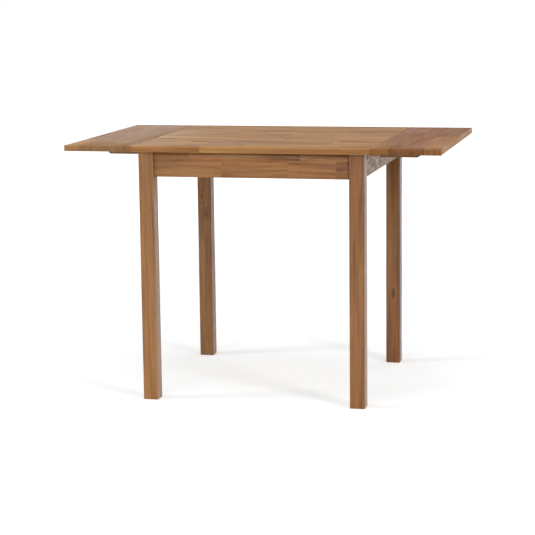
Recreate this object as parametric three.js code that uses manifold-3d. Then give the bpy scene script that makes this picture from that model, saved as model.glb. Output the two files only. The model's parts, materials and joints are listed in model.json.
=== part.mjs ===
// Drop leaf table: a square glued-lamella top on four square legs, with a narrow leaf hinged
// to each side. Pull-out bearers run from the frame into grooved channels under the leaves.
// Millimetres, +Z up. The origin is on the floor under the middle of the table: the leaves
// are at -X and +X, the front is at -Y.

import * as THREE from 'three';
import { mergeVertices } from 'three/addons/utils/BufferGeometryUtils.js';
import Module from 'manifold-3d';

const wasm = await Module();
wasm.setup();

// ---- Driving dimensions -------------------------------------------------------------------

const TABLE_HEIGHT = 750;
const TOP_LENGTH = 700; // the fixed top, along X
const TOP_DEPTH = 700; // the top and the leaves, along Y
const TOP_THICKNESS = 17;
const TOP_EDGE_RADIUS = 1.2;
const TOP_CORNER_RADIUS = 2.4;
const LEAF_WIDTH = 199.4;
const SEAM_GAP = 0.6;

const LEG_SIZE = 44;
const LEG_EDGE_RADIUS = 2;
const LEG_INSET_X = 19; // outer face of a leg inside the end of the fixed top
const LEG_INSET_Y = 18; // and inside its front and back edges
const LEG_CORNER_CUT = 14; // flat on the inner edge of a leg, measured along each face

const APRON_BOTTOM = 660;
const APRON_THICKNESS = 20;
const SIDE_APRON_SETBACK = 7; // behind the outer faces of the legs
const FRONT_APRON_SETBACK = 4;
const BOARD_EASE = 1; // chamfer on the edges of aprons, bearers and blocks

const BEARER_Y = 174.4; // middle of each bearer, from the table's centre line
const BEARER_WIDTH = 24;
const BEARER_HEIGHT = 19;
const BEARER_LENGTH = 300;
const BEARER_TRAVEL = 99;
const BEARER_TOP_GAP = 0.6;
const BEARER_SIDE_GAP = 0.5;
const PEG_RADIUS = 5;
const PEG_FROM_END = 8;
const PEG_DROP = 14; // below the bearer, where it is gripped

const CHANNEL_REACH = 115; // outer end of a leaf channel beyond the end of the fixed top
const CHANNEL_WIDTH = 44;
const CHANNEL_DEPTH = 22;
const CHANNEL_END_WALL = 14;
const CHANNEL_NOSE_RADIUS = 5;
const CHANNEL_START = 1.4; // from the leaf's inner edge

const GUIDE_LENGTH = 50;
const GUIDE_WALL = 10;
const GUIDE_FLANGE = 16;
const GUIDE_FLANGE_THICKNESS = 8;
const GUIDE_SCREW_RADIUS = 2.4;

const HINGE_Y = 245;
const HINGE_LENGTH = 64;
const WING_WIDTH = 20;
const WING_THICKNESS = 2;
const WING_CORNER_RADIUS = 3;
const BARREL_RADIUS = 3.3;
const BARREL_BORE_RADIUS = 1.9;
const PIN_RADIUS = 1.6;
const PIN_HEAD_RADIUS = 2.6;
const PIN_HEAD_LENGTH = 1.2;
const KNUCKLES = 5;
const WING_SCREW_RADIUS = 2.2;
const WING_SINK_RADIUS = 4.1;
const WING_SCREW_SPACING = 22;

const BLOCK_THICKNESS = 22;
const BLOCK_HEIGHT = 50;
const BOLT_RADIUS = 4;
const BOLT_IN_LEG = 34;
const BOLT_TAIL = 13; // past the inner face of the corner block
const NUT_ACROSS_FLATS = 13;
const NUT_HEIGHT = 6.5;
const WASHER_RADIUS = 10;
const WASHER_THICKNESS = 1.6;

const BRACKET_X = 150;
const BRACKET_LEG = 22;
const BRACKET_WIDTH = 18;
const BRACKET_THICKNESS = 2;
const BRACKET_SLOT = { width: 4.6, length: 10 };

const FIT_GAP = 0.3; // between pieces that touch

// ---- Places worked out from them ----------------------------------------------------------

const topUnderside = TABLE_HEIGHT - TOP_THICKNESS;
const seatZ = topUnderside - FIT_GAP; // top of everything that stands under the top
const topEnd = TOP_LENGTH / 2;
const leafInner = topEnd + SEAM_GAP;
const pinX = topEnd + SEAM_GAP / 2;
const pinZ = seatZ - BARREL_RADIUS;
const legX = topEnd - LEG_INSET_X - LEG_SIZE / 2;
const legY = TOP_DEPTH / 2 - LEG_INSET_Y - LEG_SIZE / 2;
const sideApronOuter = legX + LEG_SIZE / 2 - SIDE_APRON_SETBACK;
const frontApronOuter = legY + LEG_SIZE / 2 - FRONT_APRON_SETBACK;
const bearerTop = topUnderside - BEARER_TOP_GAP;
const bearerBottom = bearerTop - BEARER_HEIGHT;
const bearerTip = topEnd; // pushed in, the tip is gripped under the overhang
const runningWidth = BEARER_WIDTH + 2 * BEARER_SIDE_GAP;
const runningFloor = bearerBottom - FIT_GAP - 0.1;
const pegX = bearerTip - BEARER_LENGTH + PEG_FROM_END;
const guideInner = pegX + BEARER_TRAVEL + PEG_RADIUS + BEARER_SIDE_GAP; // stops the peg
const boltZ = (APRON_BOTTOM + topUnderside) / 2;

const SIDES = [['left', -1], ['right', 1]];
const ENDS = [['front', -1], ['back', 1]];

// ---- Materials ----------------------------------------------------------------------------

const topWood = () => new THREE.MeshStandardMaterial({
  color: 0xb27a4a, roughness: 0.48, metalness: 0, flatShading: true,
});
const frameWood = () => new THREE.MeshStandardMaterial({
  color: 0x9f6739, roughness: 0.52, metalness: 0, flatShading: true,
});
const runnerWood = () => new THREE.MeshStandardMaterial({
  color: 0xa9713f, roughness: 0.6, metalness: 0, flatShading: true,
});
const steel = () => new THREE.MeshStandardMaterial({
  color: 0xb9b4a6, roughness: 0.38, metalness: 1, flatShading: true,
});

// ---- Shape helpers ------------------------------------------------------------------------

function rectangle(width, height, corner, round) {
  const shape = new THREE.Shape();
  const [x, y] = [width / 2, height / 2];
  const turns = [[x, -y, -Math.PI / 2], [x, y, 0], [-x, y, Math.PI / 2], [-x, -y, Math.PI]];
  turns.forEach(([cx, cy, start]) => {
    const centre = [cx - Math.sign(cx) * corner, cy - Math.sign(cy) * corner];
    if (round) {
      shape.absarc(centre[0], centre[1], corner, start, start + Math.PI / 2, false);
    } else {
      [start, start + Math.PI / 2].forEach((angle) => {
        const point = [
          centre[0] + corner * Math.cos(angle),
          centre[1] + corner * Math.sin(angle),
        ];
        if (shape.curves.length || shape.currentPoint.lengthSq()) shape.lineTo(...point);
        else shape.moveTo(...point);
      });
    }
  });
  shape.closePath();
  return shape;
}

// Extrudes a shape by height along +Z, with all its end edges eased inside that height.
function easedExtrude(shape, height, ease, segments = 1, curveSegments = 3) {
  const geometry = new THREE.ExtrudeGeometry(shape, {
    depth: height - 2 * ease,
    bevelEnabled: ease > 0,
    bevelThickness: ease,
    bevelSize: ease,
    bevelOffset: -ease,
    bevelSegments: segments,
    curveSegments,
  });
  return geometry.translate(0, 0, ease);
}

// A board with its 12 edges chamfered, standing on z = 0 about the origin.
function board(lengthX, widthY, height, ease = BOARD_EASE) {
  return easedExtrude(rectangle(lengthX, widthY, ease, false), height, ease);
}

// Turns an extrusion of an X-Z profile so that it runs along Y, centred on it.
function alongY(geometry, width) {
  return geometry.rotateX(Math.PI / 2).translate(0, width / 2, 0);
}

// Turns an extrusion of a Y-Z profile so that it runs along X, centred on it.
function alongX(geometry, length) {
  return geometry.rotateX(Math.PI / 2).rotateZ(Math.PI / 2).translate(-length / 2, 0, 0);
}

function cylinder(radius, length, segments, radiusTop = radius) {
  return new THREE.CylinderGeometry(radiusTop, radius, length, segments);
}

function box(x0, x1, y0, y1, z0, z1) {
  return new THREE.BoxGeometry(x1 - x0, y1 - y0, z1 - z0)
    .translate((x0 + x1) / 2, (y0 + y1) / 2, (z0 + z1) / 2);
}

function toSolid(geometry) {
  const bare = geometry.clone();
  ['normal', 'uv'].forEach((name) => bare.deleteAttribute(name));
  const welded = mergeVertices(bare, 1e-4);
  return new wasm.Manifold(new wasm.Mesh({
    numProp: 3,
    vertProperties: new Float32Array(welded.attributes.position.array),
    triVerts: new Uint32Array(welded.index.array),
  }));
}

function toGeometry(solid) {
  const mesh = solid.getMesh();
  const geometry = new THREE.BufferGeometry();
  geometry.setAttribute('position', new THREE.BufferAttribute(mesh.vertProperties, 3));
  geometry.setIndex(new THREE.BufferAttribute(mesh.triVerts, 1));
  geometry.computeVertexNormals();
  return geometry;
}

// Joins the added geometries to the first, then cuts the others out of it.
function carve(base, { add = [], cut = [] }) {
  let solid = toSolid(base);
  add.forEach((geometry) => { solid = solid.add(toSolid(geometry)); });
  cut.forEach((geometry) => { solid = solid.subtract(toSolid(geometry)); });
  return toGeometry(solid);
}

const table = new THREE.Group();

function place(name, geometry, material, x = 0, y = 0, z = 0, turn = 0) {
  const mesh = new THREE.Mesh(geometry, material);
  mesh.name = name;
  mesh.position.set(x, y, z);
  mesh.rotation.z = turn;
  table.add(mesh);
}

// The left half of the table is the right half turned half round about Z.
const halfTurn = (sx) => (sx > 0 ? 0 : Math.PI);

// ---- Top and leaves -----------------------------------------------------------------------

function slab(length) {
  const outline = rectangle(length, TOP_DEPTH, TOP_CORNER_RADIUS, true);
  return easedExtrude(outline, TOP_THICKNESS, TOP_EDGE_RADIUS, 2, 2);
}

place('main_top', slab(TOP_LENGTH), topWood(), 0, 0, topUnderside);
SIDES.forEach(([side, sx]) => {
  place(`leaf_${side}`, slab(LEAF_WIDTH), topWood(),
    sx * (leafInner + LEAF_WIDTH / 2), 0, topUnderside);
});

// ---- Legs ---------------------------------------------------------------------------------

// The leg of the +X +Y corner: its inner edge is cut flat at the top, where the block bolts on.
function leg() {
  const post = easedExtrude(rectangle(LEG_SIZE, LEG_SIZE, LEG_EDGE_RADIUS, true), seatZ,
    LEG_EDGE_RADIUS / 2, 1, 3);
  const cutSide = LEG_CORNER_CUT * Math.SQRT2;
  const cutHeight = TABLE_HEIGHT - APRON_BOTTOM;
  const corner = new THREE.BoxGeometry(cutSide, cutSide, cutHeight)
    .rotateZ(Math.PI / 4)
    .translate(-LEG_SIZE / 2, -LEG_SIZE / 2, APRON_BOTTOM + cutHeight / 2);
  const flat = (LEG_SIZE - LEG_CORNER_CUT) / Math.SQRT2; // from the leg's axis
  const hole = cylinder(BOLT_RADIUS + FIT_GAP, BOLT_IN_LEG + 12, 16)
    .translate(0, -flat + (BOLT_IN_LEG - 12) / 2 + FIT_GAP, 0)
    .rotateZ(-Math.PI / 4)
    .translate(0, 0, boltZ);
  return carve(post, { cut: [corner, hole] });
}

// Quarter turns that bring the inner edge of the leg to each corner of the table.
const legTurn = (sx, sy) => Math.atan2(sy, sx) - Math.PI / 4;

// ---- Aprons -------------------------------------------------------------------------------

const apronHeight = seatZ - APRON_BOTTOM;

function frontApron() {
  const length = 2 * (legX - LEG_SIZE / 2 - FIT_GAP);
  return board(length, APRON_THICKNESS, apronHeight);
}

// The side aprons have a notch in the top edge for each bearer.
function sideApron() {
  const length = 2 * (legY - LEG_SIZE / 2 - FIT_GAP);
  const notches = ENDS.map(([, sy]) => box(
    -APRON_THICKNESS, APRON_THICKNESS,
    sy * BEARER_Y - runningWidth / 2, sy * BEARER_Y + runningWidth / 2,
    runningFloor - APRON_BOTTOM, apronHeight + 1,
  ));
  return carve(board(APRON_THICKNESS, length, apronHeight), { cut: notches });
}

ENDS.forEach(([end, sy]) => {
  place(`apron_${end}`, frontApron(), frameWood(),
    0, sy * (frontApronOuter - APRON_THICKNESS / 2), APRON_BOTTOM);
});
SIDES.forEach(([side, sx]) => {
  place(`apron_${side}`, sideApron(), frameWood(),
    sx * (sideApronOuter - APRON_THICKNESS / 2), 0, APRON_BOTTOM);
});

// ---- Corner blocks, leg bolts and nuts ----------------------------------------------------

// x + y of the flat on a leg's inner edge, in the +X +Y corner.
const flatSum = legX + legY - LEG_SIZE + LEG_CORNER_CUT;
const blockOuter = flatSum - FIT_GAP * Math.SQRT2;
const blockInner = blockOuter - BLOCK_THICKNESS * Math.SQRT2;
const flatMid = { x: (flatSum + legX - legY) / 2, y: (flatSum - legX + legY) / 2 };

// A cylinder along the diagonal of a corner, from one depth to another past the leg's flat,
// measured towards the middle of the table.
function diagonal(geometry, sx, sy, from, to) {
  const middle = (from + to) / 2 / Math.SQRT2;
  return geometry.rotateZ(Math.PI / 2 + Math.atan2(sy, sx)).translate(
    sx * (flatMid.x - middle), sy * (flatMid.y - middle), boltZ,
  );
}

function cornerBlock(sx, sy) {
  const side = sideApronOuter - APRON_THICKNESS - FIT_GAP;
  const front = frontApronOuter - APRON_THICKNESS - FIT_GAP;
  const outline = new THREE.Shape([
    [side, blockOuter - side],
    [blockOuter - front, front],
    [blockInner - front, front],
    [side, blockInner - side],
  ].map(([x, y]) => new THREE.Vector2(sx * x, sy * y)));
  const block = easedExtrude(outline, BLOCK_HEIGHT, BOARD_EASE)
    .translate(0, 0, boltZ - BLOCK_HEIGHT / 2);
  const depth = BLOCK_THICKNESS + 10;
  const hole = diagonal(cylinder(BOLT_RADIUS + FIT_GAP, depth, 16), sx, sy, -5, depth - 5);
  return carve(block, { cut: [hole] });
}

function bolt(length) {
  const chamfer = 1;
  const half = length / 2;
  return new THREE.LatheGeometry([
    [0, -half], [BOLT_RADIUS - chamfer, -half], [BOLT_RADIUS, -half + chamfer],
    [BOLT_RADIUS, half - chamfer], [BOLT_RADIUS - chamfer, half], [0, half],
  ].map(([r, y]) => new THREE.Vector2(r, y)), 16);
}

// A hex nut on its washer, standing on y = 0 about the Y axis.
function nut() {
  const washer = cylinder(WASHER_RADIUS, WASHER_THICKNESS, 24).translate(0, WASHER_THICKNESS / 2, 0);
  const hex = cylinder(NUT_ACROSS_FLATS / Math.sqrt(3), NUT_HEIGHT, 6)
    .translate(0, WASHER_THICKNESS + NUT_HEIGHT / 2, 0);
  const bore = cylinder(BOLT_RADIUS + FIT_GAP, 4 * NUT_HEIGHT, 16);
  return carve(washer, { add: [hex], cut: [bore] });
}

ENDS.forEach(([end, sy]) => SIDES.forEach(([side, sx]) => {
  const corner = `${end}_${side}`;
  place(`leg_${corner}`, leg(), frameWood(), sx * legX, sy * legY, 0, legTurn(sx, sy));
  place(`corner_block_${corner}`, cornerBlock(sx, sy), runnerWood());

  const inside = BLOCK_THICKNESS + FIT_GAP;
  const tail = inside + BOLT_TAIL;
  place(`leg_bolt_${corner}`,
    diagonal(bolt(BOLT_IN_LEG + tail), sx, sy, -BOLT_IN_LEG, tail), steel());
  const nutFace = inside + FIT_GAP;
  place(`leg_nut_${corner}`, diagonal(nut(), sx, sy, nutFace, nutFace), steel());
}));

// ---- Brackets that hold the top to the front and back aprons --------------------------------

// An angle in the Y-Z plane: its corner at the origin, one leg along +Y and one down -Z.
function bracket() {
  const outline = new THREE.Shape([
    [0, 0], [BRACKET_LEG, 0], [BRACKET_LEG, -BRACKET_THICKNESS],
    [BRACKET_THICKNESS, -BRACKET_THICKNESS], [BRACKET_THICKNESS, -BRACKET_LEG],
    [0, -BRACKET_LEG],
  ].map(([y, z]) => new THREE.Vector2(y, z)));
  const angle = alongX(easedExtrude(outline, BRACKET_WIDTH, 0.3), BRACKET_WIDTH);
  const reach = (BRACKET_LEG + BRACKET_THICKNESS) / 2;
  const slot = rectangle(BRACKET_SLOT.length, BRACKET_SLOT.width, BRACKET_SLOT.width / 2 - 0.01, true);
  const through = () => easedExtrude(slot, 3 * BRACKET_THICKNESS, 0, 1, 4);
  const up = through().translate(0, reach, -2 * BRACKET_THICKNESS);
  const across = through().rotateX(-Math.PI / 2).translate(0, -BRACKET_THICKNESS, -reach);
  return carve(angle, { cut: [up, across] });
}

ENDS.forEach(([end, sy]) => SIDES.forEach(([side, sx]) => {
  const inner = frontApronOuter - APRON_THICKNESS - FIT_GAP;
  place(`top_bracket_${end}_${side}`, bracket(), steel(),
    sx * BRACKET_X, sy * inner, seatZ, sy < 0 ? 0 : Math.PI);
}));

// ---- Bearers, their pegs and guides, and the channels under the leaves ----------------------

// A bearer lies along X from its inner end at x = 0, with its underside at z = 0.
function bearer() {
  const bar = board(BEARER_LENGTH, BEARER_WIDTH, BEARER_HEIGHT).translate(BEARER_LENGTH / 2, 0, 0);
  const hole = cylinder(PEG_RADIUS + FIT_GAP, 3 * BEARER_HEIGHT, 20)
    .rotateX(Math.PI / 2).translate(PEG_FROM_END, 0, 0);
  const nose = new THREE.BoxGeometry(6, 2 * BEARER_WIDTH, 6)
    .rotateY(Math.PI / 4).translate(BEARER_LENGTH, 0, 0);
  return carve(bar, { cut: [hole, nose] });
}

function peg() {
  const length = BEARER_HEIGHT + PEG_DROP;
  const round = 1.5;
  return new THREE.LatheGeometry([
    [0, 0], [PEG_RADIUS - round, 0], [PEG_RADIUS - round * 0.3, round * 0.3],
    [PEG_RADIUS, round], [PEG_RADIUS, length], [0, length],
  ].map(([r, y]) => new THREE.Vector2(r, y)), 20).rotateX(Math.PI / 2).translate(0, 0, -PEG_DROP);
}

// A saddle under the top, seen along X: the bearer runs in its trough, and its two flanges
// screw up into the top. Its upper face is at z = 0.
function guide() {
  const inner = runningWidth / 2;
  const outer = inner + GUIDE_WALL;
  const edge = outer + GUIDE_FLANGE;
  const floor = runningFloor - seatZ;
  const half = [
    [edge, 0], [edge, -GUIDE_FLANGE_THICKNESS], [outer, -GUIDE_FLANGE_THICKNESS],
    [outer, floor - GUIDE_WALL + 3], [outer - 3, floor - GUIDE_WALL],
  ];
  const mirrored = half.map(([y, z]) => [-y, z]).reverse();
  const outline = [[inner, floor], [inner, 0], ...half, ...mirrored, [-inner, 0], [-inner, floor]];
  const shape = new THREE.Shape(outline.map(([y, z]) => new THREE.Vector2(y, z)));
  const saddle = alongX(easedExtrude(shape, GUIDE_LENGTH, BOARD_EASE / 2), GUIDE_LENGTH);
  const holes = [-1, 1].map((s) => cylinder(GUIDE_SCREW_RADIUS, 4 * GUIDE_FLANGE_THICKNESS, 16)
    .rotateX(Math.PI / 2).translate(0, s * (outer + GUIDE_FLANGE / 2), 0));
  return carve(saddle, { cut: holes });
}

// A channel under a leaf, from its inner end at x = 0, with its upper face at z = 0. It is
// open towards the table and below, and its outer end is closed by a rounded nose.
function channel() {
  const length = topEnd + CHANNEL_REACH - (leafInner + CHANNEL_START);
  const depth = CHANNEL_DEPTH - FIT_GAP;
  const profile = new THREE.Shape();
  profile.moveTo(0, -depth);
  profile.lineTo(length - CHANNEL_NOSE_RADIUS, -depth);
  profile.absarc(length - CHANNEL_NOSE_RADIUS, -depth + CHANNEL_NOSE_RADIUS,
    CHANNEL_NOSE_RADIUS, -Math.PI / 2, 0, false);
  profile.lineTo(length, 0);
  profile.lineTo(0, 0);
  const block = alongY(easedExtrude(profile, CHANNEL_WIDTH, BOARD_EASE, 1, 5), CHANNEL_WIDTH);
  const groove = box(-BOARD_EASE, length - CHANNEL_END_WALL,
    -runningWidth / 2, runningWidth / 2, -2 * CHANNEL_DEPTH, BOARD_EASE);
  return carve(block, { cut: [groove] });
}

ENDS.forEach(([end, sy]) => SIDES.forEach(([side, sx]) => {
  const corner = `${end}_${side}`;
  const y = sy * BEARER_Y;
  place(`bearer_${corner}`, bearer(), runnerWood(),
    sx * (bearerTip - BEARER_LENGTH), y, bearerBottom, halfTurn(sx));
  place(`bearer_peg_${corner}`, peg(), runnerWood(), sx * pegX, y, bearerBottom);
  place(`bearer_guide_${corner}`, guide(), runnerWood(),
    sx * (guideInner + GUIDE_LENGTH / 2), y, seatZ);
  place(`leaf_channel_${corner}`, channel(), runnerWood(),
    sx * (leafInner + CHANNEL_START), y, seatZ, halfTurn(sx));
}));

// ---- Hinges ---------------------------------------------------------------------------------

const knuckleLength = HINGE_LENGTH / KNUCKLES;
const knuckleY = (index) => (index + 0.5) * knuckleLength - HINGE_LENGTH / 2;

// One wing of a butt hinge, lying open under the top: the pin's axis is the Y axis, the wing
// reaches towards direction * X, and it carries every second knuckle, starting with first.
function wing(direction, first) {
  const leafShape = rectangle(WING_WIDTH, HINGE_LENGTH, WING_CORNER_RADIUS, true);
  const plateZ = BARREL_RADIUS - WING_THICKNESS;
  const plate = easedExtrude(leafShape, WING_THICKNESS, 0, 1, 4)
    .translate(direction * WING_WIDTH / 2, 0, plateZ);
  const squareEdge = box(
    Math.min(0, direction * WING_CORNER_RADIUS), Math.max(0, direction * WING_CORNER_RADIUS),
    -HINGE_LENGTH / 2, HINGE_LENGTH / 2, plateZ, BARREL_RADIUS,
  );

  const knuckles = [];
  const reliefs = [];
  for (let index = 0; index < KNUCKLES; index += 1) {
    const own = index % 2 === first;
    const y = knuckleY(index);
    if (own) {
      knuckles.push(cylinder(BARREL_RADIUS, knuckleLength - FIT_GAP, 20).translate(0, y, 0));
    } else {
      const half = BARREL_RADIUS + FIT_GAP;
      reliefs.push(box(-half, half, y - (knuckleLength + FIT_GAP) / 2,
        y + (knuckleLength + FIT_GAP) / 2, -half, half));
    }
  }

  const bore = cylinder(BARREL_BORE_RADIUS, 2 * HINGE_LENGTH, 12);
  const screwX = direction * (WING_WIDTH * 0.58);
  const screws = [-1, 0, 1].flatMap((s) => {
    const at = (geometry, z) => geometry.rotateX(Math.PI / 2).translate(screwX, s * WING_SCREW_SPACING, z);
    return [
      at(cylinder(WING_SCREW_RADIUS, 4 * WING_THICKNESS, 12), plateZ),
      at(cylinder(WING_SCREW_RADIUS, WING_THICKNESS, 12, WING_SINK_RADIUS).rotateZ(Math.PI),
        plateZ + WING_THICKNESS / 2 - 0.2),
    ];
  });
  return carve(plate, { add: [squareEdge, ...knuckles], cut: [...reliefs, bore, ...screws] });
}

function hingePin() {
  const half = HINGE_LENGTH / 2 + FIT_GAP / 2;
  const quarter = [
    [PIN_RADIUS, half], [PIN_HEAD_RADIUS, half], [PIN_HEAD_RADIUS * 0.8, half + PIN_HEAD_LENGTH * 0.7],
    [PIN_HEAD_RADIUS * 0.4, half + PIN_HEAD_LENGTH], [0, half + PIN_HEAD_LENGTH],
  ];
  const lower = quarter.map(([r, y]) => [r, -y]).reverse();
  return new THREE.LatheGeometry(
    [...lower, ...quarter].map(([r, y]) => new THREE.Vector2(r, y)), 16,
  );
}

ENDS.forEach(([end, sy]) => SIDES.forEach(([side, sx]) => {
  const at = [sx * pinX, sy * HINGE_Y, pinZ, halfTurn(sx)];
  const corner = `${end}_${side}`;
  place(`hinge_fixed_${corner}`, wing(-1, 0), steel(), ...at);
  place(`hinge_moving_${corner}`, wing(1, 1), steel(), ...at);
  place(`hinge_pin_${corner}`, hingePin(), steel(), ...at);
}));

export default table;
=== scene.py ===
import json
import math
import random

import bmesh
import bpy
from mathutils import Euler, Matrix, Vector


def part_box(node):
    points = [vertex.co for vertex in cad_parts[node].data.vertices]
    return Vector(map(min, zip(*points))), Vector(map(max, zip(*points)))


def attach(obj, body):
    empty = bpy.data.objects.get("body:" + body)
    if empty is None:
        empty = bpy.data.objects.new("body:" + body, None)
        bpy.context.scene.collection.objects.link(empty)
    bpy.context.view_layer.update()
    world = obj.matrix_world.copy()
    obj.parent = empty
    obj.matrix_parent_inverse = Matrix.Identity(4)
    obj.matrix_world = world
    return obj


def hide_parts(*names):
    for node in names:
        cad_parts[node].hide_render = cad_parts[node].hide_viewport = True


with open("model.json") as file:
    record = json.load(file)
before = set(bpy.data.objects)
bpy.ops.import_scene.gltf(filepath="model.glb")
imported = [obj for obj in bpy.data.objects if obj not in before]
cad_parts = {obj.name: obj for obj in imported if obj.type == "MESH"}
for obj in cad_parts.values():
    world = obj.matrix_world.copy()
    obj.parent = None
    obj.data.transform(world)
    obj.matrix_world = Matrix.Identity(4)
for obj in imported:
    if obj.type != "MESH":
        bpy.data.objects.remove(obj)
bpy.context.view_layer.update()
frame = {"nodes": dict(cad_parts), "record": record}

X, Y, Z = range(3)
ENDS = ("front", "back")
SIDES = ("left", "right")
CORNERS = [(end, side) for end in ENDS for side in SIDES]
CORNER_SIGNS = [(sx, sy) for sy in (-1, 1) for sx in (-1, 1)]


# ---- Camera, light and floor ----------------------------------------------------------------

CAMERA_AT = Vector((1.219, -5.175, 1.237))
CAMERA_TURN = math.radians(13.58)  # from +Y towards -X
CAMERA_TILT = math.radians(9.49)  # below the horizon
CAMERA_ROLL = math.radians(-0.68)
CAMERA_LENS = 118.7  # mm, on a 36 mm sensor

WORLD_FILL = 0.30
FLOOR_SIZE = 60.0
FLOOR_DROP = 0.0005  # keeps the floor from lying in the same plane as the feet
FLOOR_COLOUR = (0.85, 0.875, 0.885, 1)
FLOOR_GLOW = 0.45  # what the camera sees on top of the light that falls on the floor
FLOOR_GLOW_REACH = (1.6, 4.5)  # metres from the table over which the glow grows to plain white

SOFTBOXES = {
    # name: (place, what it points at, width, height, watts)
    "left_softbox": ((-3.6, -1.3, 1.8), (0, 0, 0.4), 0.9, 1.5, 48),
    "right_softbox": ((3.1, -2.4, 1.8), (0, 0, 0.4), 0.9, 1.2, 54),
    "front_softbox": ((-0.9, -4.8, 2.1), (0, 0, 0.5), 3.2, 2.4, 50),
    "overhead_softbox": ((0.1, -0.4, 3.2), (0, 0, 0.7), 2.4, 2.0, 26),
    "back_right_panel": ((1.9, 3.4, 1.3), (0, 0, 0.5), 1.9, 1.0, 14),
    "back_left_panel": ((-2.0, 3.6, 1.1), (-0.4, 0, 0.75), 1.3, 1.0, 9),
}


def make_camera():
    camera = bpy.data.objects.new("camera", bpy.data.cameras.new("camera"))
    bpy.context.scene.collection.objects.link(camera)
    camera.data.lens = CAMERA_LENS
    ahead = Vector((
        -math.sin(CAMERA_TURN) * math.cos(CAMERA_TILT),
        math.cos(CAMERA_TURN) * math.cos(CAMERA_TILT),
        -math.sin(CAMERA_TILT),
    ))
    level = Vector((math.cos(CAMERA_TURN), math.sin(CAMERA_TURN), 0))
    up = level.cross(ahead)
    right = level * math.cos(CAMERA_ROLL) + up * math.sin(CAMERA_ROLL)
    up = up * math.cos(CAMERA_ROLL) - level * math.sin(CAMERA_ROLL)
    turn = Matrix((right, up, -ahead)).transposed()
    camera.matrix_world = Matrix.Translation(CAMERA_AT) @ turn.to_4x4()
    bpy.context.scene.camera = camera


def make_lights():
    for name, (place, target, width, height, watts) in SOFTBOXES.items():
        lamp = bpy.data.lights.new(name, "AREA")
        lamp.shape = "RECTANGLE"
        lamp.size = width
        lamp.size_y = height
        lamp.energy = watts
        box = bpy.data.objects.new(name, lamp)
        bpy.context.scene.collection.objects.link(box)
        box.location = place
        box.visible_camera = False
        toward = Vector(target) - Vector(place)
        box.rotation_euler = toward.to_track_quat("-Z", "Y").to_euler()


# ---- Shader graphs --------------------------------------------------------------------------

class Graph:
    """The nodes of one material or world, made by calls that read like formulas."""

    def __init__(self, owner):
        owner.use_nodes = True
        self.tree = owner.node_tree
        self.tree.nodes.clear()

    def node(self, kind, inputs=(), **settings):
        made = self.tree.nodes.new("ShaderNode" + kind)
        for key, value in settings.items():
            setattr(made, key, value)
        for key, value in dict(inputs).items():
            self.set(made.inputs[key], value)
        return made

    def set(self, socket, value):
        if isinstance(value, bpy.types.NodeSocket):
            self.tree.links.new(value, socket)
        else:
            socket.default_value = value

    def math(self, operation, a, b=0.0, clamp=False):
        made = self.node("Math", {0: a, 1: b}, operation=operation, use_clamp=clamp)
        return made.outputs[0]

    def vector(self, operation, a, b=(0, 0, 0)):
        made = self.node("VectorMath", {0: a, 1: b}, operation=operation)
        return made.outputs["Value" if operation == "LENGTH" else "Vector"]

    def attribute(self, name):
        return self.node("Attribute", attribute_name=name).outputs["Vector"]

    def noise(self, place, stretch, detail=2.0, roughness=0.5, output="Fac"):
        stretched = self.vector("MULTIPLY", place, stretch)
        made = self.node("TexNoise", {
            "Vector": stretched, "Scale": 1.0, "Detail": detail, "Roughness": roughness,
        })
        return made.outputs[output]

    def ramp(self, value, stops):
        """stops: (position, grey level) pairs."""
        made = self.node("ValToRGB", {"Fac": value})
        made.color_ramp.interpolation = "EASE"
        marks = made.color_ramp.elements
        while len(marks) < len(stops):
            marks.new(0.5)
        for mark, (position, level) in zip(marks, stops):
            mark.position = position
            mark.color = (level, level, level, 1)
        return made.outputs["Color"]

    def mix(self, share, a, b):
        made = self.node("Mix", data_type="RGBA", clamp_factor=True)
        self.set(made.inputs[0], share)
        self.set(made.inputs[6], a)
        self.set(made.inputs[7], b)
        return made.outputs[2]

    def multiply(self, share, colour, by):
        made = self.node("Mix", data_type="RGBA", blend_type="MULTIPLY", clamp_factor=True)
        self.set(made.inputs[0], share)
        self.set(made.inputs[6], colour)
        self.set(made.inputs[7], by)
        return made.outputs[2]

    def seen_or_mirrored(self):
        """1 for a ray from the camera, a mirror or clear glass, and 0 for any other."""
        path = self.node("LightPath").outputs
        seen = self.math("MAXIMUM", path["Is Camera Ray"], path["Is Transmission Ray"])
        return self.math("MAXIMUM", seen, path["Is Glossy Ray"])


def linear(red, green, blue):
    """A colour written as it looks on a screen, 0 to 255, as a shader takes it."""
    def channel(value):
        value /= 255
        return value / 12.92 if value <= 0.04045 else ((value + 0.055) / 1.055) ** 2.4
    return (channel(red), channel(green), channel(blue), 1)


# ---- Wood -----------------------------------------------------------------------------------

# Wood is drawn from three attributes that every wooden mesh carries on its face corners:
# "grain", the place in the stave's own log, in metres, with the pith along its first axis;
# "tone", which holds the stave's brightness with painted highlights, shade and sheen laid on it,
# its redness and 1 on end grain; and "knot", the place from the middle of the stave's knot,
# in knot sizes.

RING_WIDTH = 0.0034
KNOT_SWELL = (0, 0.022, 0.012)  # how far the grain is pushed aside at the middle of a knot
KNOT_STRETCH = 2.4  # length along the grain over width
FAR_FROM_KNOT = Vector((9, 9, 9))  # the "knot" attribute of a stave that has none
RUDDY = (0.90, 0.52, 0.34, 1)  # what a ruddy stave multiplies its colour by
PORE = (0.35, 0.28, 0.22, 1)  # what an open pore multiplies the colour by
END_DARKENING = 0.12  # how much darker end grain is
EDGE_HIGHLIGHT = 1.1  # how much brighter the wood is painted where its edges are eased, a painted highlight along them
EASED_AREA = 0.0016  # the largest face that is an eased edge, in square metres

# How large a part of a face's normal must be, along one axis:
SQUARE_FACE = 0.97  # for the face not to be an eased edge
RIM_FACE = 0.9  # for it to be one of the piece's long narrow faces
END_FACE = 0.75  # for it to show end grain
END_EDGE = 0.5  # for an eased edge to be at the piece's end


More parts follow.
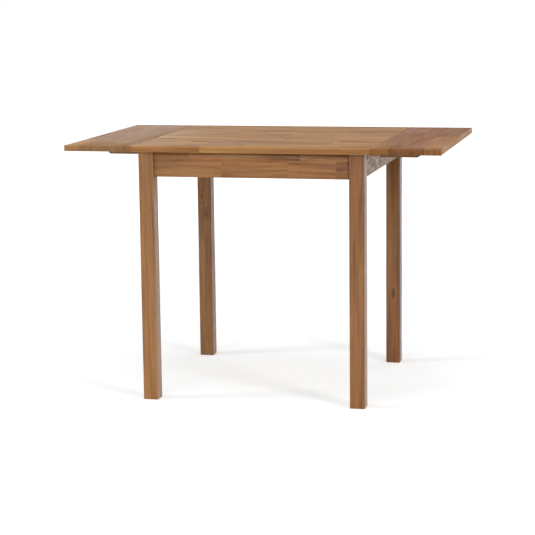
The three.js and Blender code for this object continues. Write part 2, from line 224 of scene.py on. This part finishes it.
def wood_material(name, light, dark, roughness, gloss, sheen=0.0, figure=1.0, patchy=0.0):
    """An oiled wood, from the colours of its earlywood and latewood.

    figure: how strongly the grain shows on long faces. End grain always shows fully.
    patchy: how unevenly the oil has dried, which shows as speckles in the sheen.
    """
    material = bpy.data.materials.new(name)
    g = Graph(material)
    grain = g.attribute("grain")
    brightness, redness, end_grain = g.node("SeparateXYZ", {0: g.attribute("tone")}).outputs

    from_knot = g.vector("LENGTH", g.attribute("knot"))
    knot = g.math("POWER", math.exp(-1), g.math("MULTIPLY", from_knot, from_knot))
    aside = g.vector("MULTIPLY", knot, KNOT_SWELL)
    sway = g.vector("SUBTRACT", g.noise(grain, (3, 16, 16), 2, 0.5, "Color"), (0.5, 0.5, 0.5))
    swayed = g.vector("ADD", grain, g.vector("MULTIPLY", sway, (0, 0.014, 0.014)))
    swayed = g.vector("ADD", swayed, aside)

    from_pith = g.vector("LENGTH", g.vector("MULTIPLY", swayed, (0, 1, 1)))
    years = g.math("DIVIDE", from_pith, RING_WIDTH)
    latewood = g.ramp(
        g.math("FRACT", years), [(0, 0.1), (0.5, 0.3), (0.84, 1), (0.93, 0.65), (1, 0.1)])
    along = g.node("SeparateXYZ", {0: swayed}).outputs[0]
    rolled = g.node("CombineXYZ", {0: along, 1: from_pith, 2: 0.0}).outputs[0]
    bands = g.noise(rolled, (2.2, 95, 1), 2, 0.55)

    streaks = g.noise(swayed, (4, 120, 120), 3, 0.6)
    fibres = g.noise(swayed, (16, 950, 950), 3, 0.65)
    clouds = g.noise(grain, (3.2, 22, 22), 2, 0.5)
    patches = g.noise(grain, (32, 210, 210), 2, 0.6)
    pores = g.ramp(g.noise(swayed, (170, 2600, 2600), 1, 0.5), [(0.6, 0), (0.7, 1)])

    on_end = g.math("ADD", g.math("MULTIPLY", end_grain, 0.26), 0.20)
    shade = g.math("MULTIPLY", g.math("SUBTRACT", latewood, 0.35), on_end)
    band_weight = g.math("ADD", g.math("MULTIPLY", end_grain, 0.6), 1.35 * figure)
    weights = (band_weight, 1.0 * figure, 0.7 * figure, 1.1 * figure)
    for pattern, weight in zip((bands, streaks, fibres, clouds), weights):
        centred = g.math("SUBTRACT", pattern, 0.5)
        shade = g.math("ADD", shade, g.math("MULTIPLY", centred, weight))
    core = g.ramp(knot, [(0.35, 0), (0.95, 0.5)])
    shade = g.math("ADD", g.math("ADD", shade, core), 0.42, clamp=True)
    colour = g.mix(shade, light, dark)

    blush = g.math("SUBTRACT", g.noise(grain, (2.5, 40, 40), 2, 0.5), 0.5)
    ruddiness = g.math("ADD", redness, g.math("MULTIPLY", blush, 0.8 * figure), clamp=True)
    colour = g.multiply(ruddiness, colour, RUDDY)
    colour = g.multiply(g.math("MULTIPLY", pores, 0.35), colour, PORE)
    darkening = g.math("SUBTRACT", 1.0, g.math("MULTIPLY", end_grain, END_DARKENING))
    value = g.math("MULTIPLY", brightness, darkening)
    final = g.node("HueSaturation", {"Color": colour, "Value": value})

    height = g.math("ADD", g.math("MULTIPLY", fibres, 0.5), g.math("MULTIPLY", pores, -0.6))
    bump = g.node("Bump", {"Height": height, "Strength": 0.5, "Distance": 0.0003})
    rough = roughness
    unevenness = ((fibres, 0.16), (streaks, 0.3), (clouds, 0.3), (patches, patchy))
    for pattern, weight in unevenness:
        rough = g.math("ADD", rough, g.math("MULTIPLY", g.math("SUBTRACT", pattern, 0.5), weight))
    rough = g.math("ADD", rough, g.math("MULTIPLY", pores, 0.15))
    surface = g.node("BsdfPrincipled", {
        "Base Color": final.outputs[0], "Roughness": rough, "Normal": bump.outputs[0],
        "Specular IOR Level": gloss, "Sheen Weight": sheen, "Sheen Roughness": 0.35,
    })
    g.node("OutputMaterial", {0: surface.outputs[0]})
    return material


def solid_of(node):
    """The CAD node's shape as a bmesh, with its flat faces whole again."""
    mesh = bmesh.new()
    mesh.from_mesh(frame["nodes"][node].data)
    bmesh.ops.remove_doubles(mesh, verts=mesh.verts, dist=1e-6)
    bmesh.ops.dissolve_limit(
        mesh, angle_limit=math.radians(0.3), verts=mesh.verts, edges=mesh.edges,
    )
    return mesh


def cut(mesh, faces, axis, place):
    """Cuts those faces with the plane at that place along that axis."""
    normal = Vector((0, 0, 0))
    normal[axis] = 1
    geometry = list({part for face in faces for part in (face, *face.edges, *face.verts)})
    bmesh.ops.bisect_plane(mesh, geom=geometry, plane_co=normal * place, plane_no=normal, dist=1e-6)


def row_of(place, edges):
    return sum(place > edge for edge in edges[1:-1])


class Stave:
    """One length of wood: where it lies, how it was sawn from its log, its tone and its knot.

    A knot is (place along the piece, place across it, size), and it runs right through.
    """

    def __init__(self, low, high, along, tone, chance, knot=None, skew=0.0):
        self.knot = knot
        self.skew = Matrix.Rotation(skew, 3, "Z")
        self.middle = (low + high) / 2
        self.along = along
        self.tone = tone
        roll = chance.uniform(0, math.tau)
        tilt = math.radians(chance.uniform(-1.6, 1.6))
        sweep = math.radians(chance.uniform(-1.0, 1.0))
        self.turn = Euler((roll, tilt, sweep)).to_matrix()
        self.log = Vector((
            chance.uniform(-5, 5), chance.uniform(0.025, 0.075), chance.uniform(-0.01, 0.01),
        ))

    def grain(self, place):
        offset = self.skew @ (place - self.middle)
        local = Vector(offset[(self.along + i) % 3] for i in range(3))
        return self.turn @ local + self.log

    def is_end(self, normal):
        return abs((self.skew @ normal)[self.along]) > END_FACE

    def from_knot(self, place, across):
        if not self.knot:
            return FAR_FROM_KNOT
        at_along, at_across, size = self.knot
        return Vector((
            (place[self.along] - at_along) / (KNOT_STRETCH * size),
            (place[across] - at_across) / size, 0,
        ))


def wood_piece(node, body, material, along=X, across=Y, edges=None, cuts=None,
               tones=None, base=(1.0, 0.0), spread=(0.08, 0.10), knots=None, skew=0.0,
               painted_edge_light=(EDGE_HIGHLIGHT, EDGE_HIGHLIGHT), painted_rim_sheen=None, painted_light_fade=(1.0, 1.0)):
    """A wooden copy of a CAD node, made up of staves. A tone is (brightness, redness).

    edges: the places across the piece where its rows of staves begin and end.
    cuts: for a row, the places along the piece where its staves meet.
    tones, knots: for (row, stave), its tone and its knot. Other staves get a tone by chance,
        about the base and with that spread, and no knot.
    skew: how far the grain is turned about Z.
    painted_edge_light: how much brighter the eased edges are painted, along the piece and at its ends;
    above 1 it is a painted highlight and below 1 painted shade.
    painted_rim_sheen: a paler, less red tone painted on the piece's long narrow faces in place of that
    of their staves, a painted sheen.
    painted_light_fade: the brightness painted at the piece's low end and at its high end, painted
    light and shade.
    """
    chance = random.Random(f"{node} 0")
    low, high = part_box(node)
    edges = edges or [low[across], high[across]]
    cuts = cuts or {}
    tones = tones or {}
    knots = knots or {}
    mesh = solid_of(node)
    for edge in edges[1:-1]:
        cut(mesh, mesh.faces[:], across, edge)
    for row, places in cuts.items():
        for place in places:
            inside = [f for f in mesh.faces
                      if row_of(f.calc_center_median()[across], edges) == row]
            cut(mesh, inside, along, place)

    staves = {}
    for row in range(len(edges) - 1):
        ends = [low[along], *cuts.get(row, []), high[along]]
        for index in range(len(ends) - 1):
            start, end = low.copy(), high.copy()
            start[across], end[across] = edges[row], edges[row + 1]
            start[along], end[along] = ends[index], ends[index + 1]
            tone = (
                base[0] * (1 + chance.gauss(0, spread[0])),
                max(0.0, base[1] + chance.gauss(0, spread[1])),
            )
            tone = tones.get((row, index), tone)
            knot = knots.get((row, index))
            staves[row, index] = Stave(start, end, along, tone, chance, knot, skew)

    grain_layer = mesh.loops.layers.float_vector.new("grain")
    tone_and_light_layer = mesh.loops.layers.float_vector.new("tone")
    knot_layer = mesh.loops.layers.float_vector.new("knot")
    for face in mesh.faces:
        centre = face.calc_center_median()
        row = row_of(centre[across], edges)
        stave = staves[row, sum(centre[along] > place for place in cuts.get(row, []))]
        # the long narrow faces can be given a paler, less red tone, a painted sheen
        on_rim = painted_rim_sheen and abs(face.normal[across]) > RIM_FACE
        brightness, redness = painted_rim_sheen if on_rim else stave.tone
        # A factor above 1 paints a highlight on an eased edge, and one below 1 paints shade on it.
        slanted = max(abs(part) for part in face.normal) < SQUARE_FACE
        if slanted and face.calc_area() < EASED_AREA:
            brightness *= painted_edge_light[abs(face.normal[along]) > END_EDGE]
        end_grain = 1.0 if stave.is_end(face.normal) else 0.0
        for loop in face.loops:
            # painted light and shade: the brightness changes from one end of the piece to the other
            share = (loop.vert.co[along] - low[along]) / (high[along] - low[along])
            lit_brightness = brightness * (painted_light_fade[0] + (painted_light_fade[1] - painted_light_fade[0]) * share)
            loop[grain_layer] = stave.grain(loop.vert.co)
            loop[tone_and_light_layer] = Vector((lit_brightness, redness, end_grain))
            loop[knot_layer] = stave.from_knot(loop.vert.co, across)
    return make_piece(f"{node}_wood", mesh, material, body, [node])


def make_piece(name, mesh, material, body, replaced=(), smooth=40):
    data = bpy.data.meshes.new(name)
    mesh.to_mesh(data)
    mesh.free()
    data.materials.append(material)
    piece = bpy.data.objects.new(name, data)
    bpy.context.scene.collection.objects.link(piece)
    data.shade_smooth()
    data.set_sharp_from_angle(angle=math.radians(smooth))
    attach(piece, body)
    if replaced:
        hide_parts(*replaced)
    return piece


def staggered(low, high, rows, shortest, longest, seed):
    """Places where the staves of each row meet end to end, different in every row."""
    chance = random.Random(seed)
    cuts = {}
    for row in range(rows):
        places = []
        place = low + chance.uniform(0.25, 1.0) * shortest
        while place < high - 0.4 * shortest:
            places.append(place)
            place += chance.uniform(shortest, longest)
        cuts[row] = places
    return cuts


# ---- Materials ------------------------------------------------------------------------------

def steel_material(name):
    material = bpy.data.materials.new(name)
    g = Graph(material)
    place = g.node("TexCoord").outputs["Object"]
    mottle = g.noise(place, (260, 260, 260), 3, 0.6)
    scratches = g.noise(place, (300, 9000, 300), 2, 0.5)
    colour = g.mix(mottle, (0.68, 0.64, 0.54, 1), (0.56, 0.56, 0.55, 1))
    rough = g.math("ADD", g.math("MULTIPLY", mottle, 0.25), 0.24)
    bump = g.node("Bump", {"Height": scratches, "Strength": 0.2, "Distance": 0.00005})
    surface = g.node("BsdfPrincipled", {
        "Base Color": colour, "Roughness": rough, "Metallic": 1.0, "Normal": bump.outputs[0],
    })
    g.node("OutputMaterial", {0: surface.outputs[0]})
    return material


def make_world():
    world = bpy.data.worlds.new("studio")
    bpy.context.scene.world = world
    g = Graph(world)
    seen = g.seen_or_mirrored()
    level = g.math("ADD", g.math("MULTIPLY", seen, 1 - WORLD_FILL), WORLD_FILL)
    background = g.node("Background", {"Color": (1, 1, 1, 1), "Strength": level})
    g.node("OutputWorld", {0: background.outputs[0]})


def make_floor():
    mesh = bmesh.new()
    bmesh.ops.create_grid(mesh, x_segments=1, y_segments=1, size=FLOOR_SIZE / 2)
    data = bpy.data.meshes.new("floor")
    mesh.to_mesh(data)
    mesh.free()
    floor = bpy.data.objects.new("floor", data)
    bpy.context.scene.collection.objects.link(floor)
    floor.location.z = -FLOOR_DROP
    material = bpy.data.materials.new("white_floor")
    g = Graph(material)
    seen = g.seen_or_mirrored()
    matt = g.node("BsdfDiffuse", {"Color": FLOOR_COLOUR})
    near, far = FLOOR_GLOW_REACH
    distance = g.vector("LENGTH", g.node("TexCoord").outputs["Object"])
    glow = g.node("MapRange", {"Value": distance, "From Min": near, "From Max": far,
                               "To Min": FLOOR_GLOW, "To Max": 1.0},
                  interpolation_type="SMOOTHSTEP")
    strength = g.math("MULTIPLY", seen, glow.outputs[0])
    white = g.node("Emission", {"Color": (1, 1, 1, 1), "Strength": strength})
    surface = g.node("AddShader", {0: matt.outputs[0], 1: white.outputs[0]})
    g.node("OutputMaterial", {0: surface.outputs[0]})
    data.materials.append(material)


make_camera()
make_lights()
make_world()
make_floor()

TOP_WOOD = wood_material(
    "oiled_top_wood", linear(180, 137, 82), linear(126, 83, 45), 0.60, 0.24, figure=0.95)
PALE_LEAF_WOOD = wood_material(
    "oiled_pale_leaf_wood", linear(175, 131, 81), linear(122, 80, 44), 0.60, 0.38, figure=0.4)
RUDDY_LEAF_WOOD = wood_material(
    "oiled_ruddy_leaf_wood", linear(180, 132, 77), linear(126, 79, 41), 0.60, 0.21, figure=0.4)
FRAME_WOOD = wood_material(
    "oiled_frame_wood", linear(178, 129, 77), linear(116, 74, 37), 0.54, 0.4, 0.5, 1.2, patchy=2.4)
LEG_WOOD = wood_material(
    "oiled_leg_wood", linear(173, 124, 71), linear(118, 75, 37), 0.46, 0.4, 0.9, 1.1, patchy=0.8)
RUNNER_WOOD = wood_material(
    "oiled_runner_wood", linear(178, 134, 88), linear(128, 88, 54), 0.6, 0.4)
STEEL = steel_material("zinc_plated_steel")


# ---- Top and leaves -------------------------------------------------------------------------

TOP_ROWS = 16


def even_edges(low, high, count):
    return [low + (high - low) * i / count for i in range(count + 1)]


def edges_from(low, high, shares):
    total = sum(shares)
    return [low + (high - low) * sum(shares[:i]) / total for i in range(len(shares) + 1)]


def make_top():
    low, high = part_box("main_top")
    cuts = staggered(low.x, high.x, TOP_ROWS, 0.12, 0.23, "main top")
    # the front row and the clearest of the other staves have their places, and chance the rest
    cuts[0] = [-0.143, 0.112, 0.237]
    cuts[1] = [-0.155, -0.03, 0.25]
    cuts[2] = [-0.15, 0.1, 0.23]
    cuts[3] = [-0.21, -0.08, 0.215]
    cuts[6] = [-0.11, 0.04, 0.26]
    cuts[11] = [-0.1, 0.03, 0.23]
    tones = {
        (0, 0): (1.02, 0.36), (0, 1): (1.06, 0.15), (0, 2): (0.95, 0.30), (0, 3): (0.94, 0.30),
        (1, 0): (0.77, 0.06), (1, 1): (0.80, 0.06), (2, 0): (1.14, 0.03), (2, 1): (0.85, 0.08),
        (3, 1): (0.82, 0.06), (3, 3): (1.16, 0.10), (6, 1): (1.18, 0.05), (11, 1): (0.78, 0.06),
    }
    # the top's eased long edges get a strong painted highlight
    wood_piece("main_top", "table_frame", TOP_WOOD, X, Y,
               even_edges(low.y, high.y, TOP_ROWS), cuts, tones, (1.0, 0.08), (0.07, 0.05),
               painted_edge_light=(1.7, 1.1))


def make_left_leaf():
    low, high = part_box("leaf_left")
    edges = edges_from(low.x, high.x, (47, 25, 31, 31, 29, 41))
    cuts = staggered(low.y, high.y, len(edges) - 1, 0.2, 0.36, "left leaf")
    tones = {(0, 0): (1.14, 0.02), (1, 0): (0.90, 0.03), (2, 0): (0.92, 0.05), (3, 0): (0.87, 0.04),
             (4, 0): (0.91, 0.05), (5, 0): (0.86, 0.10)}
    chance = random.Random("left leaf tones")
    for row in range(len(edges) - 1):
        tones[row, 1] = (chance.gauss(0.79, 0.03), 0.05)
        tones[row, 2] = (chance.gauss(0.80, 0.03), 0.02)
    wood_piece("leaf_left", "leaf_left", PALE_LEAF_WOOD, Y, X, edges, cuts,
               tones, (0.87, 0.0), (0.03, 0.02), painted_rim_sheen=(1.0, 0.02))


def make_right_leaf():
    low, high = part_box("leaf_right")
    edges = edges_from(low.x, high.x, (51, 37, 48, 20, 48))
    cuts = staggered(low.y, high.y, len(edges) - 1, 0.2, 0.36, "right leaf")
    cuts[3] = [-0.300, 0.030, 0.165]
    cuts[4] = [-0.310, 0.035, 0.240]
    tones = {(0, 0): (0.80, 0.32), (1, 0): (0.64, 0.42), (2, 0): (0.62, 0.42), (3, 0): (0.62, 0.40),
             (3, 1): (0.95, 0.24), (3, 2): (0.56, 0.46), (4, 0): (0.80, 0.30), (4, 1): (1.00, 0.22),
             (4, 2): (0.70, 0.40)}
    wood_piece("leaf_right", "leaf_right", RUDDY_LEAF_WOOD, Y, X, edges, cuts,
               tones, (0.70, 0.52), (0.04, 0.05), {(1, 0): (-0.33, 0.405, 0.010)},
               painted_rim_sheen=(1.0, 0.06))


# ---- Frame and runners ----------------------------------------------------------------------

LEGS = {
    # corner: (shares of its width that its staves take, their tones, their knots, painted_light_fade:
    # the brightness painted at its bottom and its top, painted light low down and painted shade under
    # the top)
    ("front", "left"): ((35, 65), {(0, 0): (1.01, 0.02), (1, 0): (0.91, 0.10)}, {}, (1.09, 1.0)),
    ("front", "right"): ((55, 45), {(0, 0): (0.85, 0.28), (1, 0): (0.82, 0.26)}, {}, (1.13, 0.88)),
    ("back", "left"): ((50, 50), {(0, 0): (0.83, 0.03), (1, 0): (0.81, 0.05)},
                       {(0, 0): (0.524, -0.316, 0.006), (1, 0): (0.470, -0.301, 0.006)}, (1.0, 1.0)),
    ("back", "right"): ((40, 60), {(0, 0): (0.72, 0.30), (1, 0): (0.66, 0.38)},
                        {(1, 0): (0.226, 0.311, 0.009)}, (1.11, 0.96)),
}


def make_aprons():
    low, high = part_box("apron_front")
    edges = edges_from(low.z, high.z, (51, 22))
    wood_piece("apron_front", "table_frame", FRAME_WOOD, X, Z, edges,
               {0: [-0.085, 0.112, 0.250], 1: [-0.180, 0.146]},
               {(0, 0): (0.94, 0.30), (0, 1): (0.96, 0.17), (0, 2): (0.90, 0.25), (0, 3): (0.76, 0.26),
                # the upper row's tones are the staves' own, lifted a little as painted light against
                # the shade under the top's overhang
                (1, 0): (0.98, 0.18), (1, 1): (0.87, 0.18), (1, 2): (0.84, 0.16)},
               # its end edges are painted dark, painted shade in the joints against the legs
               knots={(0, 3): (0.263, 0.690, 0.010)}, painted_edge_light=(EDGE_HIGHLIGHT, 0.5))
    wood_piece("apron_back", "table_frame", FRAME_WOOD, X, Z, edges,
               staggered(low.x, high.x, 2, 0.2, 0.34, "back apron"), base=(0.94, 0.1))
    for side in SIDES:
        low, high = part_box(f"apron_{side}")
        # the side aprons are painted darker than the others, painted shade under the leaves
        wood_piece(f"apron_{side}", "table_frame", FRAME_WOOD, Y, Z, edges,
                   staggered(low.y, high.y, 2, 0.2, 0.34, f"{side} apron"), base=(0.82, 0.1))


def make_corners():
    for (end, side), (shares, tones, knots, painted_light_fade) in LEGS.items():
        node = f"leg_{end}_{side}"
        low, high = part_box(node)
        wood_piece(node, "table_frame", LEG_WOOD, Z, X,
                   edges_from(low.x, high.x, shares), {}, tones, knots=knots, painted_light_fade=painted_light_fade)
        skew = math.radians(45) * (1 if (end == "front") == (side == "left") else -1)
        wood_piece(f"corner_block_{end}_{side}", "table_frame", RUNNER_WOOD, X,
                   skew=skew)
        wood_piece(f"bearer_guide_{end}_{side}", "table_frame", RUNNER_WOOD, X)


def make_runners():
    for end, side in CORNERS:
        body = f"bearer_{end}_{side}"
        wood_piece(f"bearer_{end}_{side}", body, RUNNER_WOOD, X)
        wood_piece(f"bearer_peg_{end}_{side}", body, RUNNER_WOOD, Z)
        # the channels are painted darker, painted shade under the leaves
        wood_piece(f"leaf_channel_{end}_{side}", f"leaf_{side}", RUNNER_WOOD, X,
                   base=(0.84, 0.08))


# ---- Screws, bolts and nuts -----------------------------------------------------------------

SCREW_SHANK = 0.0019  # radius
CROSS_REACH, CROSS_HALF_WIDTH = 0.0021, 0.00055
CROSS_DEPTH = 0.0015
SUNK_HEAD = 0.0036  # radius
SUNK_BELOW = 0.0001  # how far a sunk head lies below the surface
PAN_HEAD = (0.0040, 0.0024)  # radius and height
PAN_GAP = 0.00005  # under a pan head
SCREW_LENGTH = 0.012
HINGE_SCREWS_AT = 0.0116  # from the hinge's pin
HINGE_SCREW_SPACING = 0.022
WING_THICKNESS = 0.002
BRACKET_THICKNESS = 0.002
BRACKET_SCREW_AT = 0.012  # from the corner of the bracket
GUIDE_SCREW_AT = 0.0305  # from the middle of the guide
GUIDE_FLANGE = 0.008
BLOCK_SCREWS_AT = 0.34  # of the length of the block's inner face, from its middle
SEAT_GAP = 0.0003  # between a corner block and what is turned down on it

BOLT_RADIUS = 0.004
BOLT_TAIL = 0.013  # past the corner block
THREAD_PITCH, THREAD_DEPTH = 0.00125, 0.0006
THREADED = 0.018  # length of the threaded tail
THREAD_STEPS = 8  # rows of points to one turn of the thread
TAPERED = 0.001  # length of the tail's tapered tip
WASHER = (0.0043, 0.0100, 0.0016)  # inner radius, outer radius, thickness
NUT = (0.0041, 0.0065, 0.0064)  # inner radius, half its width across flats, height
SCREW_FACETS, BOLT_FACETS, NUT_FACETS = 24, 32, 48


def turned(mesh, profile, steps, place, closed=False):
    """Adds a turned shape about Z. profile(angle) gives its (radius, height) points, from one
    end to the other, or all the way round if it is closed."""
    columns = []
    for step in range(steps):
        angle = math.tau * step / steps
        columns.append([
            mesh.verts.new(place @ Vector((r * math.cos(angle), r * math.sin(angle), z)))
            for r, z in profile(angle)
        ])
    count = len(columns[0])
    for step in range(steps):
        here, there = columns[step], columns[(step + 1) % steps]
        for i in range(count if closed else count - 1):
            j = (i + 1) % count
            mesh.faces.new((here[i], there[i], there[j], here[j]))
    if not closed:
        mesh.faces.new([column[0] for column in reversed(columns)])
        mesh.faces.new([column[-1] for column in columns])


def cross(angle):
    """How far the edge of a cross recess is from its middle, at that angle."""
    quarter = math.pi / 2
    folded = min(angle % quarter, quarter - angle % quarter)
    arm = CROSS_REACH / math.cos(folded)
    return min(arm, CROSS_HALF_WIDTH / math.sin(folded)) if folded > 0.01 else arm


def recess(angle, face):
    edge = cross(angle)
    return [(edge, face), (0.55 * edge, face - CROSS_DEPTH)]


def sunk_screw(angle):
    face = -SUNK_BELOW
    return [
        (0.3 * SCREW_SHANK, -SCREW_LENGTH), (SCREW_SHANK, -0.75 * SCREW_LENGTH),
        (SCREW_SHANK, face - (SUNK_HEAD - SCREW_SHANK)), (SUNK_HEAD, face - 0.00015),
        (SUNK_HEAD - 0.00015, face), *recess(angle, face),
    ]


def pan_screw(angle):
    radius, height = PAN_HEAD
    return [
        (0.3 * SCREW_SHANK, -SCREW_LENGTH), (SCREW_SHANK, -0.75 * SCREW_LENGTH),
        (SCREW_SHANK, PAN_GAP), (radius, PAN_GAP), (radius, 0.35 * height),
        (0.93 * radius, 0.65 * height), (0.78 * radius, 0.88 * height),
        (0.62 * radius, height), *recess(angle, height),
    ]


def washer(_angle):
    inner, outer, thick = WASHER
    edge = 0.0002
    return [(inner, 0), (outer - edge, 0), (outer, edge), (outer, thick - edge),
            (outer - edge, thick), (inner, thick)]


def hex_nut(angle):
    inner, half_width, height = NUT
    sixth = math.pi / 3
    side = half_width / math.cos(angle % sixth - sixth / 2)
    crown = 0.97 * half_width
    drop = (side - crown) * math.tan(math.radians(30))
    lead = 0.0005
    return [(inner + lead, 0), (crown, 0), (side, drop), (side, height - drop),
            (crown, height), (inner + lead, height), (inner, height - lead), (inner, lead)]


def facing(point, outward, turn=0.0):
    """The place of something that stands on a surface at that point."""
    spin = Matrix.Rotation(turn, 4, "Z")
    return Matrix.Translation(point) @ outward.to_track_quat("Z", "Y").to_matrix().to_4x4() @ spin


def screws(name, body, profile, places):
    """places: (point on the surface, outward direction) of each screw."""
    chance = random.Random(name)
    mesh = bmesh.new()
    for point, outward in places:
        turned(mesh, profile, SCREW_FACETS, facing(point, outward, chance.uniform(0, math.tau)))
    make_piece(name, mesh, STEEL, body, smooth=35)


def make_screws():
    down = Vector((0, 0, -1))
    for (end, side), (sx, sy) in zip(CORNERS, CORNER_SIGNS):
        corner = f"{end}_{side}"
        low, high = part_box(f"hinge_pin_{corner}")
        pin = (low + high) / 2
        for wing, way, body in (("fixed", -sx, "table_frame"), ("moving", sx, f"leaf_{side}")):
            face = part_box(f"hinge_{wing}_{corner}")[1].z - WING_THICKNESS
            screws(f"hinge_screws_{wing}_{corner}", body, sunk_screw, [
                (Vector((pin.x + way * HINGE_SCREWS_AT, pin.y + i * HINGE_SCREW_SPACING, face)), down)
                for i in (-1, 0, 1)
            ])

        low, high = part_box(f"top_bracket_{corner}")
        middle = (low + high) / 2
        at_apron = low.y if sy < 0 else high.y
        inward = Vector((0, -sy, 0))
        on_top = Vector((middle.x, at_apron - sy * BRACKET_SCREW_AT, high.z - BRACKET_THICKNESS))
        on_apron = Vector((middle.x, at_apron - sy * BRACKET_THICKNESS, high.z - BRACKET_SCREW_AT))
        screws(f"bracket_screws_{corner}", "table_frame", pan_screw,
               [(on_top, down), (on_apron, inward)])

        low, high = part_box(f"bearer_guide_{corner}")
        middle = (low + high) / 2
        screws(f"guide_screws_{corner}", "table_frame", pan_screw, [
            (Vector((middle.x, middle.y + way * GUIDE_SCREW_AT, high.z - GUIDE_FLANGE)), down)
            for way in (-1, 1)
        ])

        low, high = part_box(f"corner_block_{corner}")
        xs, ys = ((low.x, high.x), (low.y, high.y))
        one = Vector((xs[sx < 0], ys[sy > 0], (low.z + high.z) / 2))
        other = Vector((xs[sx > 0], ys[sy < 0], one.z))
        along = (other - one) * BLOCK_SCREWS_AT
        inward = Vector((-sx, -sy, 0)).normalized()
        screws(f"block_screws_{corner}", "table_frame", sunk_screw, [
            ((one + other) / 2 + way * along + inward * SEAT_GAP, inward) for way in (-1, 1)
        ])


def make_leg_bolts():
    for (end, side), (sx, sy) in zip(CORNERS, CORNER_SIGNS):
        low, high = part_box(f"leg_bolt_{end}_{side}")
        inward = Vector((-sx, -sy, 0)).normalized()
        length = Vector((high.x - low.x, high.y - low.y)).length - 2 * BOLT_RADIUS
        middle = facing((low + high) / 2, inward)
        tip = length / 2
        root = BOLT_RADIUS - THREAD_DEPTH

        def threaded(angle):
            rows = THREAD_STEPS * round(THREADED / THREAD_PITCH)
            points = [(root, -tip), (BOLT_RADIUS, -tip + THREAD_DEPTH),
                      (BOLT_RADIUS, tip - THREADED - THREAD_DEPTH)]
            for row in range(rows + 1):
                z = tip - THREADED * (1 - row / rows)
                turn = (z / THREAD_PITCH - angle / math.tau) % 1
                crest = 1 - abs(2 * turn - 1)  # 0 at the root and 1 at the crest
                past_taper = max(0.0, z - (tip - TAPERED))
                points.append((root + THREAD_DEPTH * crest - 0.6 * past_taper, z))
            return points

        mesh = bmesh.new()
        turned(mesh, threaded, BOLT_FACETS, middle)
        make_piece(f"threaded_bolt_{end}_{side}", mesh, STEEL, "table_frame",
                   [f"leg_bolt_{end}_{side}"], smooth=50)

        seat = (low + high) / 2 + inward * (tip - BOLT_TAIL + SEAT_GAP)
        mesh = bmesh.new()
        turned(mesh, washer, NUT_FACETS, facing(seat, inward), closed=True)
        turned(mesh, hex_nut, NUT_FACETS, facing(seat + inward * WASHER[2], inward), closed=True)
        make_piece(f"nut_and_washer_{end}_{side}", mesh, STEEL, "table_frame",
                   [f"leg_nut_{end}_{side}"], smooth=35)


def finish_steel():
    slots = {part["node"]: part["material_slot"] for part in frame["record"]["subparts"]}
    for node, part in frame["nodes"].items():
        if slots[node] == "zinc_steel":
            part.data.materials.clear()
            part.data.materials.append(STEEL)


make_top()
make_left_leaf()
make_right_leaf()
make_aprons()
make_corners()
make_runners()
make_screws()
make_leg_bolts()
finish_steel()

bpy.context.scene.view_settings.view_transform = "Standard"
